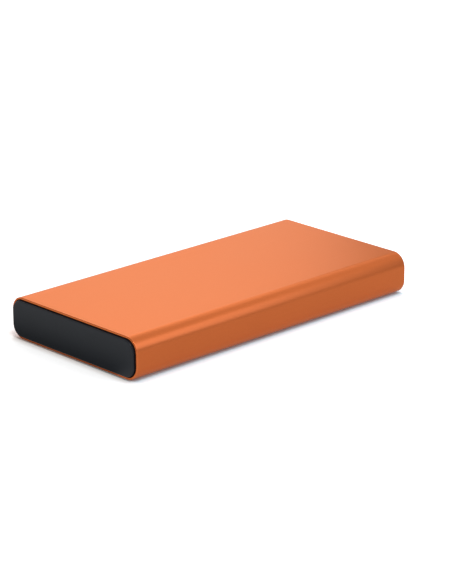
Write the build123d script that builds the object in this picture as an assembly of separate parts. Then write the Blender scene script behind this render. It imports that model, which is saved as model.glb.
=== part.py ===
from build123d import *
import os

# Slim power bank in an extruded aluminium sleeve, in millimetres.
# X runs along the length: the blank end is at -X and the end with the ports at +X.
# Y runs across the width and Z is up. The origin is under the middle, on the surface it rests on.
#
# A moulded tray carries two pouch cells and the circuit board, and slides into the sleeve from
# the ports end until its flange meets a step inside the rim. At the blank end a clamp plate sits
# on the matching step and four screws pull it towards the tray, which clamps the sleeve between
# them. Both ends are then closed by black caps on adhesive gaskets, a little proud of the rims.

# ---- Sleeve ------------------------------------------------------------------------------
length = 137.2             # the sleeve alone: the caps stand proud of it at both ends
width = 68.0
height = 16.0
corner_radius = 5.5        # outside, on the four long edges
sleeve_wall = 1.5
rim_wall = 0.95            # what is left of the wall at each rim, beside the end parts
rim_outer_chamfer = 0.2
rim_inner_chamfer = 0.3

# ---- End parts ---------------------------------------------------------------------------
cap_thickness = 2.6
cap_proud = 0.9            # how far the caps stand out of the rim
cap_gap = 0.12             # between a cap and the rim around it
cap_edge_round = 0.4
gasket_thickness = 0.15
gasket_inset = 1.2         # the gasket's outline, inside the plate's
flange_thickness = 2.0     # the tray's flange, and the clamp plate
seat_clearance = 0.1       # between the flange or the plate and the rim around it

# ---- Tray --------------------------------------------------------------------------------
slide_clearance = 0.15     # between the tray and the sleeve's bore
rail_thickness = 2.2
bulkhead_thickness = 4.2
bulkhead_gap = 0.3         # lets the clamp screws pull the plate home
bar_thickness = 1.2        # between the cells and the board
board_bay_length = 24.5
tray_floor = 1.0           # under the board only

# ---- Cells -------------------------------------------------------------------------------
pad_thickness = 0.5
pad_inset = 2.0
bond_thickness = 0.15
swell_room = 0.35          # left above the upper pad
cell_clearance = 0.15      # at the cell's sides and at its rear end
cell_round = 1.4
terrace_length = 4.0       # sealed lip that the tabs come out of
terrace_thickness = 0.4
terrace_inset = 3.0
tab_room = 5.0             # from the terrace to the tray's bar
tab_width = 8.0
tab_thickness = 0.15
tab_offset = 14.0          # each tab's centre, from the middle of the cell
tab_reach = 2.6            # how far a tab runs before it is folded
tab_overlap = 1.5          # each tab's fold, past the middle of the stack
tape_thickness = 0.1

# ---- Clamp screws ------------------------------------------------------------------------
clamp_screw_length = 6.0
clamp_screw_radius = 0.8
clamp_head_radius = 1.6
clamp_head_depth = 0.9
clamp_screw_inset = 8.0    # the outer screws, from the sleeve's side
thread_clearance = 0.02
screw_clearance = 0.15     # in the hole that a screw passes through

# ---- Circuit board -----------------------------------------------------------------------
board_thickness = 1.0
board_side_gap = 0.35
board_rear_gap = 0.4
board_front_gap = 0.25
board_screw_inset = 3.6    # from the board's side and rear edges
board_screw_length = 4.0
board_screw_radius = 0.75
board_head_radius = 1.5
board_head_height = 1.0
post_radius = 2.2
film_thickness = 0.15
film_inset = 4.5           # from the sleeve's bore, which is curved at the corners
film_ledge = 1.2

# ---- Sockets -----------------------------------------------------------------------------
socket_clearance = 0.2     # around each socket in the cap, the flange and the board
socket_recess = 0.8        # the sockets' mouths, behind the caps' faces
mould_clearance = 0.04     # between a socket's shell and its moulding
usb_a_inset = 17.0         # centre, from the sleeve's side
usb_a_mouth_width = 12.5
usb_a_mouth_height = 5.12
usb_a_sheet = 0.3
usb_a_length = 14.0
usb_a_tongue_width = 11.1
usb_a_tongue_thickness = 1.84
usb_a_tongue_top_gap = 0.65
usb_a_tongue_recess = 0.7
usb_a_base_length = 5.4
usb_a_ear_reach = 1.4      # solder ears, past the shell's sides
usb_a_ear_length = 2.0
usb_a_spring_offset = 3.0  # spring tongues in the shell, each side of its middle
usb_a_spring_width = 2.0
usb_a_spring_length = 5.0
usb_a_spring_slot = 0.3
usb_a_spring_recess = 2.2  # behind the mouth
usb_a_contact_spacings = (-3.5, -1.0, 1.0, 3.5)
usb_a_contact_width = 1.0
micro_mouth_width = 6.9
micro_mouth_height = 1.85
micro_sheet = 0.25
micro_length = 5.6
micro_corner_cut = 0.75    # the two cut-off lower corners of the mouth
micro_tongue_width = 3.7
micro_tongue_thickness = 0.6
micro_tongue_top_gap = 0.35
micro_tongue_recess = 0.5
micro_base_length = 1.6
micro_contact_spacings = (-1.3, -0.65, 0.0, 0.65, 1.3)
micro_contact_width = 0.35
contact_thickness = 0.2

# ---- Button and its switch ---------------------------------------------------------------
button_inset = 7.5         # centre, from the sleeve's side
button_radius = 2.2
button_gap = 0.15
button_sunk = 0.05         # the button's face, behind the cap's
button_travel = 0.3
button_edge_round = 0.35
collar_radius = 2.9
collar_thickness = 0.8
collar_play = 0.05
stem_radius = 1.0
switch_width = 4.5
switch_depth = 3.3
switch_height = 2.5
switch_setback = 1.5       # its front, behind the board's front edge
switch_cover = 0.15
plunger_width = 1.9
plunger_height = 1.1
plunger_reach = 0.8        # out of the switch
plunger_tail = 1.0         # inside the switch
plunger_gap = 0.1
dome_thickness = 0.08

# ---- Indicator ---------------------------------------------------------------------------
led_count = 4
led_pitch = 3.0
led_from_button = 6.0      # from the button's centre to the nearest light
led_width = 1.6
led_depth = 0.9
led_height = 0.8
led_setback = 0.7
stem_light_radius = 0.7
stem_light_gap = 0.05
guide_bar_thickness = 0.8
guide_bar_height = 1.9
guide_bar_margin = 1.2

# ---- Board components --------------------------------------------------------------------
inductor_radius = 3.4
inductor_height = 4.2
inductor_flange = 0.9
inductor_core_radius = 1.7
winding_radius = 3.0
inductor_offset = 5.0      # from the small socket's centre
capacitor_radius = 2.5
capacitor_height = 4.5
capacitor_base = 0.8
capacitor_base_width = 5.3
capacitor_spacing = 5.8
chip_length = 5.0
chip_width = 4.0
chip_thickness = 1.4
chip_standoff = 0.15
chip_pin_count = 4         # on each of two sides
chip_pin_pitch = 1.27
chip_pin_reach = 1.0
chip_pin_width = 0.4
chip_pin_sheet = 0.2
small_chip_size = (3.0, 2.8, 1.0)
ceramic_size = (1.6, 0.8, 0.8)
ceramic_pitch = 1.6
ceramic_count = 7
resistor_size = (1.6, 0.8, 0.45)
component_gap = 0.6        # least space between neighbouring components
lead_radius = 0.8
lead_offset = 5.6          # where each lead crosses the bar, from the middle
lead_bend_radius = 3.0
lead_notch_gap = 0.5
joint_length = 2.4

# ---- Places worked out from the sizes above ----------------------------------------------
mid_z = height / 2
half_length = length / 2
bore_half_width = width / 2 - sleeve_wall
bore_half_height = height / 2 - sleeve_wall
bore_radius = corner_radius - sleeve_wall
face_x = half_length + cap_proud
cap_back_x = face_x - cap_thickness
plate_x = cap_back_x - gasket_thickness
step_x = plate_x - flange_thickness

tray_rear_x = -step_x + bulkhead_gap
bulkhead_x = tray_rear_x + bulkhead_thickness
bar_front_x = step_x - board_bay_length
bar_rear_x = bar_front_x - bar_thickness
bay_half_width = bore_half_width - slide_clearance - rail_thickness
tray_bottom_z = sleeve_wall + slide_clearance
tray_top_z = height - tray_bottom_z
floor_z = tray_bottom_z + tray_floor

cell_half_width = bay_half_width - cell_clearance
cell_rear_x = bulkhead_x + cell_clearance
cell_tip_x = bar_rear_x - tab_room
cell_body_x = cell_tip_x - terrace_length
cell_thickness = (2 * bore_half_height - 2 * pad_thickness - bond_thickness - swell_room) / 2
lower_cell_z = sleeve_wall + pad_thickness
bond_z = lower_cell_z + cell_thickness
upper_cell_z = bond_z + bond_thickness
upper_pad_z = upper_cell_z + cell_thickness
stack_mid_z = bond_z + bond_thickness / 2
tab_fold_x = cell_tip_x + tab_reach

micro_outer_height = micro_mouth_height + 2 * micro_sheet
board_top_z = mid_z - micro_outer_height / 2
board_bottom_z = board_top_z - board_thickness
board_rear_x = bar_front_x + board_rear_gap
board_front_x = step_x - board_front_gap
board_tongue_x = plate_x - board_front_gap
board_half_width = bay_half_width - board_side_gap
board_screw_x = board_rear_x + board_screw_inset
board_screw_y = board_half_width - board_screw_inset
film_top_z = tray_top_z
film_half_width = bore_half_width - film_inset

mouth_x = face_x - socket_recess
usb_a_y = -(width / 2 - usb_a_inset)
usb_a_outer_width = usb_a_mouth_width + 2 * usb_a_sheet
usb_a_outer_height = usb_a_mouth_height + 2 * usb_a_sheet
usb_a_rear_x = mouth_x - usb_a_length
usb_a_tongue_top_z = mid_z + usb_a_mouth_height / 2 - usb_a_tongue_top_gap
usb_a_tongue_z = usb_a_tongue_top_z - usb_a_tongue_thickness
micro_outer_width = micro_mouth_width + 2 * micro_sheet
micro_rear_x = mouth_x - micro_length
micro_tongue_z = mid_z + micro_mouth_height / 2 - micro_tongue_top_gap - micro_tongue_thickness
usb_a_tail_x = usb_a_rear_x - 0.9
usb_a_foot_x = usb_a_tail_x - 1.2
micro_tail_x = micro_rear_x - 0.2
micro_foot_x = micro_tail_x - 0.9

button_y = width / 2 - button_inset
button_face_x = face_x - button_sunk
collar_front_x = cap_back_x - collar_play
collar_rear_x = collar_front_x - collar_thickness
pocket_x = collar_rear_x - button_travel - button_gap
switch_front_x = board_front_x - switch_setback
switch_rear_x = switch_front_x - switch_depth
plunger_tip_x = switch_front_x + plunger_reach
led_ys = [button_y - led_from_button - n * led_pitch for n in range(led_count)]
micro_y = (usb_a_y + usb_a_outer_width / 2 + led_ys[-1]) / 2
led_front_x = board_front_x - led_setback

lead_end_x = board_rear_x + 1.2
capacitor_x = usb_a_foot_x - component_gap - capacitor_base_width / 2
capacitor_edge_y = usb_a_y + (capacitor_spacing + capacitor_base_width) / 2
ceramic_row_x = micro_foot_x - 2 * component_gap - ceramic_size[0] / 2
middle_x = (lead_end_x + joint_length + ceramic_row_x - ceramic_size[0] / 2) / 2
inductor_y = micro_y + inductor_offset
controller_y = (capacitor_edge_y + inductor_y - inductor_radius) / 2
charger_y = inductor_y + inductor_radius + 2 * component_gap + chip_length / 2
chip_ys = (controller_y, charger_y)

clamp_screw_ys = [(width / 2 - clamp_screw_inset) * share for share in (-1, -1 / 3, 1 / 3, 1)]


# ---- Helpers -----------------------------------------------------------------------------
def block(x_range, y_range, z_range):
    """Box between two values on each axis."""
    sizes = [high - low for low, high in (x_range, y_range, z_range)]
    centre = [(low + high) / 2 for low, high in (x_range, y_range, z_range)]
    return Pos(*centre) * Box(*sizes)


def around(centre, size):
    """The range of a size centred on a value."""
    return (centre - size / 2, centre + size / 2)


def bar_along_x(x_range, size_y, size_z, radius, y=0.0, z=None):
    """Bar along X with a rounded-rectangle section, centred at mid-height unless z is given."""
    middle = mid_z if z is None else z
    section = Plane.YZ.offset(x_range[0]) * Pos(y, middle) * RectangleRounded(size_y, size_z, radius)
    return extrude(section, x_range[1] - x_range[0])


def rod_x(x_range, y, z, radius):
    """Round rod along X."""
    return extrude(Plane.YZ.offset(x_range[0]) * Pos(y, z) * Circle(radius), x_range[1] - x_range[0])


def rod_z(x, y, z_range, radius):
    """Round rod along Z."""
    return extrude(Plane.XY.offset(z_range[0]) * Pos(x, y) * Circle(radius), z_range[1] - z_range[0])


def seat_bar(x_range, clearance, inset=0.0):
    """Bar that fits inside the sleeve's rim with the given clearance."""
    inward = rim_wall + clearance + inset
    radius = max(corner_radius - inward, 0.4)
    return bar_along_x(x_range, width - 2 * inward, height - 2 * inward, radius)


def cross_recess(head_radius):
    """Cutter for a crosshead screw, standing on its tip along +Z."""
    arm = 2 * head_radius * 0.62
    return Box(arm, arm * 0.26, arm * 0.6) + Box(arm * 0.26, arm, arm * 0.6)


def side_profile(points, y_range):
    """Solid with an outline of (x, z) points, between two values of Y."""
    outline = make_face(Polyline([(x, y_range[0], z) for x, z in points], close=True))
    return extrude(outline, y_range[1] - y_range[0], dir=(0, 1, 0))


# ---- Sleeve ------------------------------------------------------------------------------
def sleeve():
    """Extruded tube with a wider seat and chamfered edges at each rim."""
    full = (-half_length, half_length)
    tube = bar_along_x(full, width, height, corner_radius)
    tube -= bar_along_x(full, 2 * bore_half_width, 2 * bore_half_height, bore_radius)
    for rim in ((-half_length, -step_x), (step_x, half_length)):
        tube -= seat_bar(rim, 0.0)
    for rim_face in (tube.faces().sort_by(Axis.X)[0], tube.faces().sort_by(Axis.X)[-1]):
        tube = chamfer(rim_face.outer_wire().edges(), rim_outer_chamfer)
        rim_now = tube.faces().sort_by(Axis.X)[0 if rim_face.center().X < 0 else -1]
        tube = chamfer(rim_now.inner_wires()[0].edges(), rim_inner_chamfer)
    return tube


# ---- End caps and gaskets ----------------------------------------------------------------
def cap_blank(x_range, outer_sign):
    """Flat cap in the rim, standing a little proud of it, with its outer edge rounded."""
    cap = seat_bar(x_range, cap_gap)
    outer = cap.faces().sort_by(Axis.X)[-1 if outer_sign > 0 else 0]
    return fillet(outer.outer_wire().edges(), cap_edge_round)


def micro_outline(grow):
    """Section of the micro socket's mouth, grown outwards: a rectangle with its lower corners cut."""
    half_width = micro_mouth_width / 2 + grow
    half_height = micro_mouth_height / 2 + grow
    cut = micro_corner_cut + grow * 0.4
    points = [
        (-half_width, half_height),
        (half_width, half_height),
        (half_width, -half_height + cut),
        (half_width - cut, -half_height),
        (-half_width + cut, -half_height),
        (-half_width, -half_height + cut),
    ]
    face = make_face(Polyline([(y, z) for y, z in points], close=True))
    return fillet(face.vertices(), 0.25)


def micro_bar(x_range, grow):
    """Bar along X with the micro socket's section."""
    section = Plane.YZ.offset(x_range[0]) * Pos(micro_y, mid_z) * micro_outline(grow)
    return extrude(section, x_range[1] - x_range[0])


def port_openings(x_range, grow):
    """Cutter for both sockets, a clearance larger than their shells."""
    side = usb_a_outer_width + 2 * grow
    tall = usb_a_outer_height + 2 * grow
    usb_a = bar_along_x(x_range, side, tall, 0.9 + grow, usb_a_y)
    return usb_a + micro_bar(x_range, micro_sheet + grow)


def ports_end_cap():
    """Cap with openings for two sockets, the button and the indicator lights."""
    x_range = (cap_back_x, face_x)
    cut_range = (cap_back_x - 1, face_x + 1)
    cap = cap_blank(x_range, 1)
    cap -= port_openings(cut_range, socket_clearance)
    cap -= rod_x(cut_range, button_y, mid_z, button_radius + button_gap)
    for y in led_ys:
        cap -= rod_x(cut_range, y, mid_z, stem_light_radius + stem_light_gap)
    return cap


def blank_end_cap():
    """Plain cap over the clamp plate and its screws."""
    return cap_blank((-face_x, -cap_back_x), -1)


def ports_cap_gasket():
    """Die-cut adhesive sheet between the tray's flange and the ports cap."""
    cut_range = (plate_x - 1, cap_back_x + 1)
    gasket = seat_bar((plate_x, cap_back_x), seat_clearance, gasket_inset)
    gasket -= port_openings(cut_range, 2 * socket_clearance)
    gasket -= rod_x(cut_range, button_y, mid_z, collar_radius + button_gap)
    lights = (led_ys[-1] - stem_light_radius - 0.5, led_ys[0] + stem_light_radius + 0.5)
    gasket -= block(cut_range, lights, around(mid_z, 2 * stem_light_radius + 1))
    return gasket


def blank_cap_gasket():
    """Adhesive sheet between the clamp plate and the blank cap."""
    return seat_bar((-cap_back_x, -plate_x), seat_clearance, gasket_inset)


# ---- Clamp plate and its screws ----------------------------------------------------------
def countersunk(y, clearance):
    """Shank and countersunk head of one clamp screw, larger by a clearance."""
    tip_x = -plate_x + clamp_screw_length
    shank = rod_x((-plate_x, tip_x), y, mid_z, clamp_screw_radius + clearance)
    head = Plane(origin=(-plate_x, y, mid_z), x_dir=(0, 1, 0), z_dir=(1, 0, 0)) * Pos(
        0, 0, clamp_head_depth / 2
    ) * Cone(clamp_head_radius + clearance, clamp_screw_radius + clearance, clamp_head_depth)
    return shank + head


def clamp_plate():
    """Plate on the sleeve's rear step, with a countersunk hole for each clamp screw."""
    plate = seat_bar((-plate_x, -step_x), seat_clearance)
    for y in clamp_screw_ys:
        plate -= countersunk(y, screw_clearance / 2)
    return plate


def clamp_screws():
    """Four countersunk crosshead screws, flush with the plate."""
    screws = []
    for y in clamp_screw_ys:
        recess = Pos(-plate_x, y, mid_z) * Rot(0, 90, 0) * cross_recess(clamp_head_radius)
        screws.append(countersunk(y, 0.0) - recess)
    return Compound(screws)


# ---- Tray --------------------------------------------------------------------------------
def support_posts():
    """Posts on the tray's floor under the board: two with screw holes and two plain."""
    z_range = (floor_z - 0.2, board_bottom_z)
    posts = []
    for side in (-1, 1):
        x, y = board_screw_x, side * board_screw_y
        post = rod_z(x, y, z_range, post_radius)
        posts.append(post)
    plain_x = switch_rear_x - post_radius
    for y in (-button_y, (micro_y + led_ys[-1]) / 2, button_y):
        posts.append(rod_z(plain_x, y, z_range, post_radius / 2))
    return posts


def inner_tray():
    """Moulded carrier: bulkhead, open cell bay, bar, board bay with a floor, and flange."""
    radius = bore_radius - slide_clearance
    tray = bar_along_x(
        (tray_rear_x, step_x),
        2 * (bore_half_width - slide_clearance),
        2 * (bore_half_height - slide_clearance),
        radius,
    )
    bay_y = (-bay_half_width, bay_half_width)
    tray -= block((bulkhead_x, bar_rear_x), bay_y, (0, height))
    tray -= block((bar_front_x, step_x), bay_y, (floor_z, height))
    tray += seat_bar((step_x, plate_x), seat_clearance)
    for post in support_posts():
        tray += post
    # ledge and shallow recess that the insulating film rests on
    film_y = (-film_half_width - 0.2, film_half_width + 0.2)
    ledge_z = film_top_z - film_thickness
    tray += block((step_x - film_ledge, step_x + 0.5), film_y, (ledge_z - 1.0, ledge_z))
    tray -= block((bar_rear_x, bar_front_x), film_y, (ledge_z, height))
    # notches where the two leads cross the bar, wide enough for the bend in each
    half_notch = lead_radius + lead_notch_gap
    for side in (-1, 1):
        inner_y = side * (lead_offset - half_notch)
        outer_y = side * (lead_offset + half_notch + 0.4 * lead_bend_radius)
        notch_y = sorted((inner_y, outer_y))
        notch_z = (board_top_z - lead_notch_gap, height)
        tray -= block((bar_rear_x - 1, bar_front_x + 1), notch_y, notch_z)
    # screw holes
    for y in clamp_screw_ys:
        hole_x = (tray_rear_x - 1, -plate_x + clamp_screw_length + 0.3)
        tray -= rod_x(hole_x, y, mid_z, clamp_screw_radius + thread_clearance)
    hole_z = (board_top_z - board_screw_length - 0.1, board_top_z)
    for side in (-1, 1):
        tray -= rod_z(board_screw_x, side * board_screw_y, hole_z, board_screw_radius + thread_clearance)
    # openings in the flange
    cut_range = (step_x - 0.01, plate_x + 1)
    tray -= port_openings(cut_range, socket_clearance)
    tray -= block(
        (step_x - 0.01, plate_x + 1),
        around(micro_y, micro_outer_width + 4 * socket_clearance),
        (board_bottom_z - socket_clearance, board_top_z + socket_clearance),
    )
    tray -= rod_x((pocket_x, plate_x + 1), button_y, mid_z, collar_radius + button_gap)
    tray -= rod_x(cut_range, button_y, mid_z, stem_radius + button_gap)
    for y in led_ys:
        tray -= rod_x(cut_range, y, mid_z, stem_light_radius + stem_light_gap)
    return tray


# ---- Cells -------------------------------------------------------------------------------
def cell(bottom_z):
    """Pouch cell: a rounded slab with the sealed lip that its tabs come out of."""
    top_z = bottom_z + cell_thickness
    slab = block((cell_rear_x, cell_body_x), (-cell_half_width, cell_half_width), (bottom_z, top_z))
    slab = fillet(slab.edges().filter_by(Axis.X), cell_round)
    slab = fillet(slab.faces().sort_by(Axis.X)[-1].outer_wire().edges(), cell_round / 2)
    lip_half_width = cell_half_width - terrace_inset
    lip = block(
        (cell_body_x - 0.5, cell_tip_x),
        (-lip_half_width, lip_half_width),
        around((bottom_z + top_z) / 2, terrace_thickness),
    )
    return slab + lip


def cell_tabs(bottom_z, fold_sign, layer):
    """Positive and negative tab of one cell, folded towards the middle of the stack."""
    mid = bottom_z + cell_thickness / 2
    fold_x = tab_fold_x + layer * tab_thickness
    low, high = around(mid, tab_thickness)
    near, far = (low, high) if fold_sign > 0 else (high, low)
    end_z = stack_mid_z + fold_sign * tab_overlap
    points = [
        (cell_tip_x, near),
        (fold_x + tab_thickness, near),
        (fold_x + tab_thickness, end_z),
        (fold_x, end_z),
        (fold_x, far),
        (cell_tip_x, far),
    ]
    return Compound([side_profile(points, around(side * tab_offset, tab_width)) for side in (-1, 1)])


def cell_pad(bottom_z):
    """Foam pad between a cell and the sleeve."""
    half_width = cell_half_width - pad_inset
    x_range = (cell_rear_x + pad_inset, cell_body_x - pad_inset)
    return block(x_range, (-half_width, half_width), (bottom_z, bottom_z + pad_thickness))


def cell_bond():
    """Double-sided tape between the two cells."""
    half_width = cell_half_width - 2 * pad_inset
    x_range = (cell_rear_x + 2 * pad_inset, cell_body_x - 2 * pad_inset)
    return block(x_range, (-half_width, half_width), (bond_z, upper_cell_z))


def tab_tape():
    """Amber tape over the upper cell's lip."""
    top_z = upper_cell_z + cell_thickness / 2 + terrace_thickness / 2
    half_width = cell_half_width - terrace_inset - 1
    return block((cell_body_x + 0.3, cell_tip_x), (-half_width, half_width), (top_z, top_z + tape_thickness))


# ---- Leads -------------------------------------------------------------------------------
def lead_route(side):
    """Corner points of a lead, from a cell's tabs across the bar to the board."""
    along_tab_x = tab_fold_x + 2 * tab_thickness + lead_radius + 0.1
    start_y = side * (tab_offset - joint_length / 2)
    board_z = board_top_z + lead_radius
    return [
        (along_tab_x, start_y, stack_mid_z),
        (along_tab_x, side * (lead_offset + 0.1), stack_mid_z),
        (lead_end_x, side * lead_offset, board_z),
    ]


def lead(side):
    """Insulated lead: straight runs joined by one tangent arc."""
    points = lead_route(side)
    first_run = Vector(*points[1]) - Vector(*points[0])
    route = FilletPolyline(*points, radius=lead_bend_radius)
    section = Plane(origin=points[0], z_dir=first_run) * Circle(lead_radius)
    return sweep(section, path=route)


def lead_joints():
    """Solder on the two pairs of tabs and on the board's two pads."""
    joints = []
    for side in (-1, 1):
        tab_end, _, board_end = lead_route(side)
        on_tab = block(
            (tab_fold_x + 2 * tab_thickness, tab_end[0] + lead_radius * 0.7),
            sorted((tab_end[1], tab_end[1] + side * joint_length)),
            around(stack_mid_z, 2 * lead_radius),
        )
        on_board = block(
            (board_end[0], board_end[0] + joint_length),
            around(board_end[1], 2 * lead_radius),
            (board_top_z, board_top_z + 1.7 * lead_radius),
        )
        top_edges = on_board.faces().sort_by(Axis.Z)[-1].outer_wire().edges()
        joints.append(fillet(top_edges, lead_radius * 0.6))
        outer_edges = on_tab.faces().sort_by(Axis.X)[-1].outer_wire().edges()
        joints.append(fillet(outer_edges, lead_radius * 0.6))
    return Compound(joints)


# ---- Circuit board -----------------------------------------------------------------------
def circuit_board():
    """Board with a cut-out for the sunk socket and a tongue that carries the small one."""
    z_range = (board_bottom_z, board_top_z)
    board = block((board_rear_x, board_front_x), (-board_half_width, board_half_width), z_range)
    tongue_width = micro_outer_width + 2 * socket_clearance
    board += block((board_front_x - 1, board_tongue_x), around(micro_y, tongue_width), z_range)
    cut_out = around(usb_a_y, usb_a_outer_width + 2 * socket_clearance)
    board -= block((usb_a_rear_x - socket_clearance, board_front_x + 1), cut_out, (0, height))
    for side in (-1, 1):
        hole_radius = board_screw_radius + screw_clearance
        board -= rod_z(board_screw_x, side * board_screw_y, (0, height), hole_radius)
    return board


def board_screws():
    """Two pan-head crosshead screws through the board into the tray's posts."""
    screws = []
    for side in (-1, 1):
        x, y = board_screw_x, side * board_screw_y
        shank = rod_z(x, y, (board_top_z - board_screw_length, board_top_z), board_screw_radius)
        head = rod_z(x, y, (board_top_z, board_top_z + board_head_height), board_head_radius)
        head = fillet(head.faces().sort_by(Axis.Z)[-1].outer_wire().edges(), board_head_height * 0.6)
        recess = Pos(x, y, board_top_z + board_head_height) * cross_recess(board_head_radius)
        screws.append(shank + head - recess)
    return Compound(screws)


def insulation_film():
    """Clear film over the board, from the bar to the ledge on the flange."""
    x_range = (bar_rear_x + bar_thickness / 3, step_x)
    return block(x_range, (-film_half_width, film_half_width), (film_top_z - film_thickness, film_top_z))


def contact_outline(front_x, tail_x, foot_x, low_z, top_z, clearance):
    """Outline of a contact: straight from its front, down at its tail, and out along the board."""
    inner_x = tail_x - contact_thickness
    foot_z = board_top_z + contact_thickness
    return [
        (front_x, top_z + clearance),
        (inner_x, top_z + clearance),
        (inner_x, foot_z),
        (foot_x, foot_z),
        (foot_x, board_top_z),
        (tail_x, board_top_z),
        (tail_x, low_z - clearance),
        (front_x, low_z - clearance),
    ]


# ---- Large socket ------------------------------------------------------------------------
def usb_a_shell():
    """Folded steel shell with two spring tongues above and two below, and four solder ears."""
    x_range = (usb_a_rear_x, mouth_x)
    shell = bar_along_x(x_range, usb_a_outer_width, usb_a_outer_height, 0.9, usb_a_y)
    shell -= bar_along_x(x_range, usb_a_mouth_width, usb_a_mouth_height, 0.6, usb_a_y)
    window_end_x = mouth_x - usb_a_spring_recess
    window_x = (window_end_x - usb_a_spring_length, window_end_x)
    spring_x = (window_x[0], window_end_x - usb_a_spring_slot)
    window_width = usb_a_spring_width + 2 * usb_a_spring_slot
    slot_z = around(mid_z, 2 * usb_a_outer_height)
    for side in (-1, 1):
        y = usb_a_y + side * usb_a_spring_offset
        window = block(window_x, around(y, window_width), slot_z)
        shell -= window - block(spring_x, around(y, usb_a_spring_width), slot_z)
    ear_z = (board_top_z, board_top_z + usb_a_sheet)
    front_ear_x = step_x - 2 * usb_a_ear_length
    rear_ear_x = usb_a_rear_x + 1.5 * usb_a_ear_length
    for side in (-1, 1):
        inner_y = usb_a_y + side * (usb_a_outer_width - usb_a_sheet) / 2
        outer_y = usb_a_y + side * (usb_a_outer_width / 2 + usb_a_ear_reach)
        for x in (front_ear_x, rear_ear_x):
            shell += block((x - usb_a_ear_length, x), sorted((inner_y, outer_y)), ear_z)
    return shell


def usb_a_contact(offset, clearance=0.0):
    """One contact: a strip under the tongue that runs out at the back and down to the board."""
    top_z = usb_a_tongue_z + contact_thickness / 2
    low_z = top_z - contact_thickness
    front_x = mouth_x - usb_a_tongue_recess - 0.8
    points = contact_outline(front_x, usb_a_tail_x, usb_a_foot_x, low_z, top_z, clearance)
    return side_profile(points, around(usb_a_y + offset, usb_a_contact_width + 2 * clearance))


def usb_a_insulator():
    """Moulding with the tongue and the base that closes the back of the shell."""
    base_x = (usb_a_rear_x, usb_a_rear_x + usb_a_base_length)
    base_width = usb_a_mouth_width - 2 * mould_clearance
    base_height = usb_a_mouth_height - 2 * mould_clearance
    moulding = bar_along_x(base_x, base_width, base_height, 0.5, usb_a_y)
    tongue = block(
        (base_x[1] - 0.5, mouth_x - usb_a_tongue_recess),
        around(usb_a_y, usb_a_tongue_width),
        (usb_a_tongue_z, usb_a_tongue_top_z),
    )
    tongue = chamfer(tongue.faces().sort_by(Axis.X)[-1].outer_wire().edges(), 0.4)
    moulding += tongue
    for offset in usb_a_contact_spacings:
        moulding -= usb_a_contact(offset, mould_clearance)
    return moulding


def usb_a_contacts():
    """The four contacts of the large socket."""
    return Compound([usb_a_contact(offset) for offset in usb_a_contact_spacings])


# ---- Small socket ------------------------------------------------------------------------
def micro_usb_shell():
    """Folded steel shell on the board's tongue, open at both ends."""
    x_range = (micro_rear_x, mouth_x)
    return micro_bar(x_range, micro_sheet) - micro_bar(x_range, 0.0)


def micro_usb_contact(offset, clearance=0.0):
    """One contact: a strip under the tongue with a foot on the board behind the shell."""
    top_z = micro_tongue_z + contact_thickness / 2
    low_z = top_z - contact_thickness
    front_x = mouth_x - micro_tongue_recess - 0.5
    points = contact_outline(front_x, micro_tail_x, micro_foot_x, low_z, top_z, clearance)
    return side_profile(points, around(micro_y + offset, micro_contact_width + 2 * clearance))


def micro_usb_insulator():
    """Moulding with the thin tongue and the base at the back of the shell."""
    base_x = (micro_rear_x, micro_rear_x + micro_base_length)
    moulding = micro_bar(base_x, -mould_clearance)
    moulding += block(
        (base_x[1] - 0.3, mouth_x - micro_tongue_recess),
        around(micro_y, micro_tongue_width),
        (micro_tongue_z, micro_tongue_z + micro_tongue_thickness),
    )
    for offset in micro_contact_spacings:
        moulding -= micro_usb_contact(offset, mould_clearance)
    return moulding


def micro_usb_contacts():
    """The five contacts of the small socket."""
    return Compound([micro_usb_contact(offset) for offset in micro_contact_spacings])


# ---- Button and switch -------------------------------------------------------------------
def power_button():
    """Round key with the collar that keeps it behind the cap and the stem to the switch."""
    head = rod_x((collar_rear_x, button_face_x), button_y, mid_z, button_radius)
    head = fillet(head.faces().sort_by(Axis.X)[-1].outer_wire().edges(), button_edge_round)
    collar = rod_x((collar_rear_x, collar_front_x), button_y, mid_z, collar_radius)
    stem = rod_x((plunger_tip_x, collar_rear_x + 0.1), button_y, mid_z, stem_radius)
    return head + collar + stem


def plunger_slot():
    """Space inside the switch for its plunger, its dome and their travel."""
    slot_width = plunger_width + 2 * plunger_gap
    slot_height = plunger_height + 2 * plunger_gap
    slot_rear_x = switch_front_x - plunger_tail - button_travel - 2 * dome_thickness
    z = board_top_z + switch_height / 2
    return block((slot_rear_x, switch_front_x + 1), around(button_y, slot_width), around(z, slot_height))


def switch_housing():
    """Base of the side-pressed switch, on the board."""
    low_z = board_top_z
    high_z = board_top_z + switch_height - switch_cover
    body = block((switch_rear_x, switch_front_x), around(button_y, switch_width), (low_z, high_z))
    return body - plunger_slot()


def switch_cover_plate():
    """Sheet-metal cover over the switch, with a clip down each side."""
    top_z = board_top_z + switch_height
    x_range = (switch_rear_x, switch_front_x)
    outer_width = switch_width + 2 * switch_cover
    cover = block(x_range, around(button_y, outer_width), (top_z - switch_cover, top_z))
    for side in (-1, 1):
        clip_y = around(button_y + side * (switch_width + switch_cover) / 2, switch_cover)
        clip_x = around((switch_rear_x + switch_front_x) / 2, switch_depth / 2)
        cover += block(clip_x, clip_y, (board_top_z, top_z))
    return cover


def switch_plunger():
    """The part of the switch that the button pushes."""
    z = board_top_z + switch_height / 2
    x_range = (switch_front_x - plunger_tail, plunger_tip_x)
    plunger = block(x_range, around(button_y, plunger_width), around(z, plunger_height))
    return chamfer(plunger.faces().sort_by(Axis.X)[-1].outer_wire().edges(), 0.15)


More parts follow.
